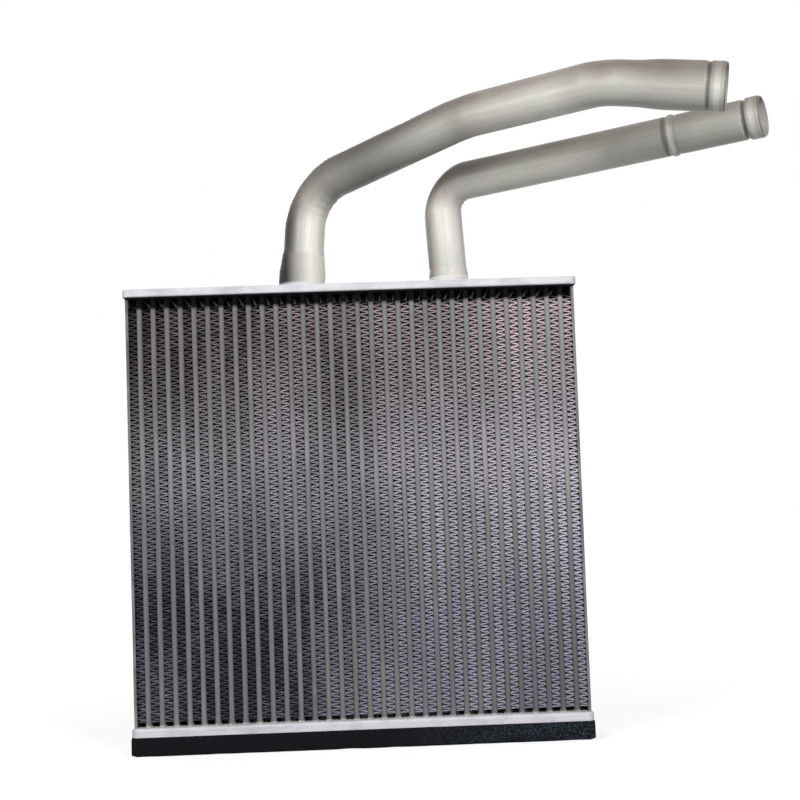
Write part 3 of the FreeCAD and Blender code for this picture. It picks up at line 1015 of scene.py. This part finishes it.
def hollow_height(x, y, top):
    """Height of the foam's top, which is hollowed to take the lower tank."""
    low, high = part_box("lower_tank")
    end = (abs(x) - (high.x - TANK_SHOULDER)) * TANK_SLOPE
    edge = (abs(y) - (high.y - TANK_SHOULDER)) * TANK_SLOPE
    return min(top, low.z + max(0.0, end, edge))


def build_foam(sizes, finishes):
    """The foam strip: soft rounded edges, a hollow for the tank and a slightly uneven skin."""
    low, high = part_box("foam_seal")
    edge = sizes.foam_edge
    wide = high.y
    angles = [math.pi / 2 * i / 4 for i in range(5)]
    quarter = [(math.sin(angle) * edge, math.cos(angle) * edge) for angle in angles]
    half = [(wide - edge + s, edge - c) for s, c in quarter]
    half += [(wide, high.z * part) for part in (0.35, 0.65)]
    half += [(wide - edge + c, high.z - edge + s) for s, c in quarter]
    half += [(y, None) for y in HOLLOW_ROWS]
    section = half + [(-y, z) for y, z in half[::-1]]
    points = []
    for k in range(FOAM_STOPS + 1):
        x = (-1 + 2 * k / FOAM_STOPS) * high.x
        into_end = max(0.0, edge - (high.x - abs(x)))
        sunk = edge - math.sqrt(max(0.0, edge * edge - into_end * into_end))
        for y, z in section:
            if z is None:
                points.append((x, y, hollow_height(x, y, high.z)))
                continue
            soft = noise.noise(Vector((x * 90, y * 90, z * 200)))
            fine = noise.noise(Vector((x * 420, y * 420, z * 420)))
            inward = 0.00022 * (0.5 + 0.5 * soft) + 0.00010 * (0.5 + 0.5 * fine)
            y -= math.copysign(inward + sunk * 0.6, y)
            middle = high.z / 2
            z = middle + (z - middle) * (1 - sunk / high.z)
            if z < 0.0009:
                z += max(0.0, soft) * 0.00035
            points.append((x, y, min(max(z, low.z), high.z)))
    faces = loft_faces(0, FOAM_STOPS, len(section))
    made = piece("foam_strip", points, faces, foam_finish(finishes), crisp=60)
    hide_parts("foam_seal")


def dress_nodes(names, material):
    """Gives CAD nodes a finish in place of the one that each came with."""
    for name in names:
        node = NODES[name]
        if not node.material_slots:
            node.data.materials.append(material)
        for slot in node.material_slots:
            slot.material = material


# Operators


class HEATER_OT_tubes(bpy.types.Operator):
    """Builds the flat water tubes with round noses"""

    bl_idname = "heater.tubes"
    bl_label = "Water tubes"

    def execute(self, context):
        build_tubes(context.scene.heater_block, context.scene.heater_finishes)
        return {"FINISHED"}


class HEATER_OT_fins(bpy.types.Operator):
    """Folds the fin strips between the tubes at their real pitch"""

    bl_idname = "heater.fins"
    bl_label = "Folded fins"

    def execute(self, context):
        build_fins(context.scene.heater_block, context.scene.heater_finishes)
        return {"FINISHED"}


class HEATER_OT_plates(bpy.types.Operator):
    """Finishes the headers, tanks and side plates and adds the braze around the tubes"""

    bl_idname = "heater.plates"
    bl_label = "Headers, tanks and side plates"

    def execute(self, context):
        finishes = context.scene.heater_finishes
        dress_nodes(PLATE_NODES, plate_finish(finishes))
        dress_nodes(SIDE_NODES, side_finish(finishes))
        build_fillets(context.scene.heater_block, finishes)
        return {"FINISHED"}


class HEATER_OT_pipes(bpy.types.Operator):
    """Bends both water pipes and brazes them into their necks"""

    bl_idname = "heater.pipes"
    bl_label = "Water pipes"

    def execute(self, context):
        sizes = context.scene.heater_pipes
        skin = pipe_finish(context.scene.heater_finishes)
        inlet = build_pipe(
            "inlet_pipe_bent", INLET_ROUTE, INLET_BENDS, INLET_TONE_AND_LIGHT, INLET_LEFT_SHADE,
            NO_RING, inlet_shape(sizes), sizes, skin,
        )
        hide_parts("inlet_pipe")
        outlet = build_pipe(
            "outlet_pipe_bent", OUTLET_ROUTE, OUTLET_BENDS, OUTLET_TONE_AND_LIGHT, OUTLET_LEFT_SHADE,
            sizes.ring_place, outlet_shape(sizes), sizes, skin,
        )
        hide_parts("outlet_pipe")
        build_collar(
            "inlet_braze", INLET_ROUTE, INLET_TONE_AND_LIGHT, INLET_LEFT_SHADE,
            sizes.inlet_radius, INLET_NECK, skin,
        )
        build_collar(
            "outlet_braze", OUTLET_ROUTE, OUTLET_TONE_AND_LIGHT, OUTLET_LEFT_SHADE,
            sizes.outlet_radius, OUTLET_NECK, skin,
        )
        return {"FINISHED"}


class HEATER_OT_foam(bpy.types.Operator):
    """Builds the foam strip under the lower tank"""

    bl_idname = "heater.foam"
    bl_label = "Foam strip"

    def execute(self, context):
        build_foam(context.scene.heater_block, context.scene.heater_finishes)
        return {"FINISHED"}


class HEATER_OT_stage(bpy.types.Operator):
    """Sets up the floor, the lamps, the background and the camera"""

    bl_idname = "heater.stage"
    bl_label = "Studio stage"

    def execute(self, context):
        settings = context.scene.heater_stage
        build_floor(context.scene.heater_finishes)
        build_world(settings)
        for name, place, target, size, setting in LAMPS:
            add_lamp(name, place, target, size, getattr(settings, setting))
        add_camera(settings)
        context.scene.view_settings.view_transform = "Standard"
        return {"FINISHED"}


def build_floor(finishes):
    """A wide pale floor that keeps the object's soft shadow and reads as white."""
    points = [
        (-FLOOR_REACH, -FLOOR_REACH, 0), (FLOOR_REACH, -FLOOR_REACH, 0),
        (FLOOR_REACH, FLOOR_REACH, 0), (-FLOOR_REACH, FLOOR_REACH, 0),
    ]
    mesh = bpy.data.meshes.new("studio_floor")
    mesh.from_pydata(points, [], [(0, 1, 2, 3)])
    floor = bpy.data.objects.new("studio_floor", mesh)
    bpy.context.scene.collection.objects.link(floor)
    skin = Shader("studio_floor", finishes.floor, 0.9, 0.1)
    path = skin.node("ShaderNodeLightPath")
    seen = skin.maths("MAXIMUM", path.outputs["Is Camera Ray"], path.outputs["Is Glossy Ray"])
    seen = skin.maths("MAXIMUM", seen, path.outputs["Is Transmission Ray"])
    away = skin.node("ShaderNodeVectorMath", operation="LENGTH")
    skin.link(skin.place((1, 1, 1)), away.inputs[0])
    strength = skin.ramp(away.outputs["Value"], 0.15, 0.7, 0.72, 1.0)
    glow = skin.node("ShaderNodeEmission")
    skin.link(strength, glow.inputs["Strength"])
    dark = skin.node("ShaderNodeEmission")
    dark.inputs["Strength"].default_value = 0.0
    choose = skin.node("ShaderNodeMixShader")
    skin.link(seen, choose.inputs["Fac"])
    skin.link(dark.outputs["Emission"], choose.inputs[1])
    skin.link(glow.outputs["Emission"], choose.inputs[2])
    add = skin.node("ShaderNodeAddShader")
    skin.link(skin.surface.outputs["BSDF"], add.inputs[0])
    skin.link(choose.outputs["Shader"], add.inputs[1])
    skin.link(add.outputs["Shader"], skin.tree.nodes["Material Output"].inputs["Surface"])
    mesh.materials.append(skin.material)


def build_world(settings):
    """White where it is seen, mirrored or shines through, and a plain even light elsewhere."""
    world = bpy.data.worlds.new("studio")
    bpy.context.scene.world = world
    world.use_nodes = True
    nodes = world.node_tree.nodes
    link = world.node_tree.links.new
    nodes.clear()
    path = nodes.new("ShaderNodeLightPath").outputs
    seen = path["Is Camera Ray"]
    for ray in ("Is Glossy Ray", "Is Transmission Ray"):
        either = nodes.new("ShaderNodeMath")
        either.operation = "MAXIMUM"
        link(seen, either.inputs[0])
        link(path[ray], either.inputs[1])
        seen = either.outputs[0]
    plain = nodes.new("ShaderNodeBackground")
    plain.inputs["Strength"].default_value = settings.ambient
    white = nodes.new("ShaderNodeBackground")
    white.inputs["Color"].default_value = (1, 1, 1, 1)
    white.inputs["Strength"].default_value = 1.0
    mix = nodes.new("ShaderNodeMixShader")
    link(seen, mix.inputs["Fac"])
    link(plain.outputs[0], mix.inputs[1])
    link(white.outputs[0], mix.inputs[2])
    link(mix.outputs[0], nodes.new("ShaderNodeOutputWorld").inputs["Surface"])


def add_lamp(name, place, target, size, power):
    """A square soft lamp that faces a point."""
    lamp = bpy.data.lights.new(name, "AREA")
    lamp.shape = "SQUARE"
    lamp.size = size
    lamp.energy = power
    made = bpy.data.objects.new(name, lamp)
    bpy.context.scene.collection.objects.link(made)
    made.location = place
    facing = Vector(target) - Vector(place)
    made.rotation_euler = facing.to_track_quat("-Z", "Y").to_euler()


def add_camera(settings):
    """The photograph's view: level with the middle of the block, turned a little."""
    lens = bpy.data.cameras.new("photo_camera")
    lens.lens = settings.focal_length
    lens.sensor_width = 36.0
    lens.clip_start = 0.01
    camera = bpy.data.objects.new("photo_camera", lens)
    bpy.context.scene.collection.objects.link(camera)
    yaw, pitch, roll = (math.radians(degrees) for degrees in CAMERA_TURN)
    ahead = Vector((
        math.sin(yaw) * math.cos(pitch), math.cos(yaw) * math.cos(pitch), math.sin(pitch)
    ))
    level = Vector((math.cos(yaw), -math.sin(yaw), 0))
    over = level.cross(ahead)
    right = level * math.cos(roll) + over * math.sin(roll)
    up = over * math.cos(roll) - level * math.sin(roll)
    turn = Matrix((right, up, -ahead)).transposed().to_4x4()
    camera.matrix_world = Matrix.Translation(CAMERA_PLACE) @ turn
    bpy.context.scene.camera = camera


class HEATER_PT_core(bpy.types.Panel):
    """Sizes, finishes and steps of the heater core"""

    bl_idname = "HEATER_PT_core"
    bl_label = "Heater core"
    bl_space_type = "VIEW_3D"
    bl_region_type = "UI"
    bl_category = "Heater core"

    def draw(self, context):
        layout = self.layout
        for group in ("heater_block", "heater_pipes", "heater_finishes", "heater_stage"):
            settings = getattr(context.scene, group)
            box = layout.box()
            for key in settings.__annotations__:
                box.prop(settings, key)
        for step in STEPS:
            layout.operator(step.bl_idname)


GROUPS = {
    "heater_block": HeaterBlockSizes,
    "heater_pipes": HeaterPipeSizes,
    "heater_finishes": HeaterFinishes,
    "heater_stage": HeaterStageSettings,
}
STEPS = (
    HEATER_OT_stage, HEATER_OT_tubes, HEATER_OT_fins, HEATER_OT_plates, HEATER_OT_pipes,
    HEATER_OT_foam,
)


def register():
    for kind in tuple(GROUPS.values()) + STEPS + (HEATER_PT_core,):
        bpy.utils.register_class(kind)
    for name, kind in GROUPS.items():
        setattr(bpy.types.Scene, name, bpy.props.PointerProperty(type=kind))


def unregister():
    for name in GROUPS:
        delattr(bpy.types.Scene, name)
    for kind in (HEATER_PT_core,) + STEPS[::-1] + tuple(GROUPS.values())[::-1]:
        bpy.utils.unregister_class(kind)


def main():
    """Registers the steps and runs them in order."""
    register()
    bpy.ops.heater.stage()
    bpy.ops.heater.tubes()
    bpy.ops.heater.fins()
    bpy.ops.heater.plates()
    bpy.ops.heater.pipes()
    bpy.ops.heater.foam()
    bpy.context.view_layer.update()


if __name__ == "__main__":
    main()
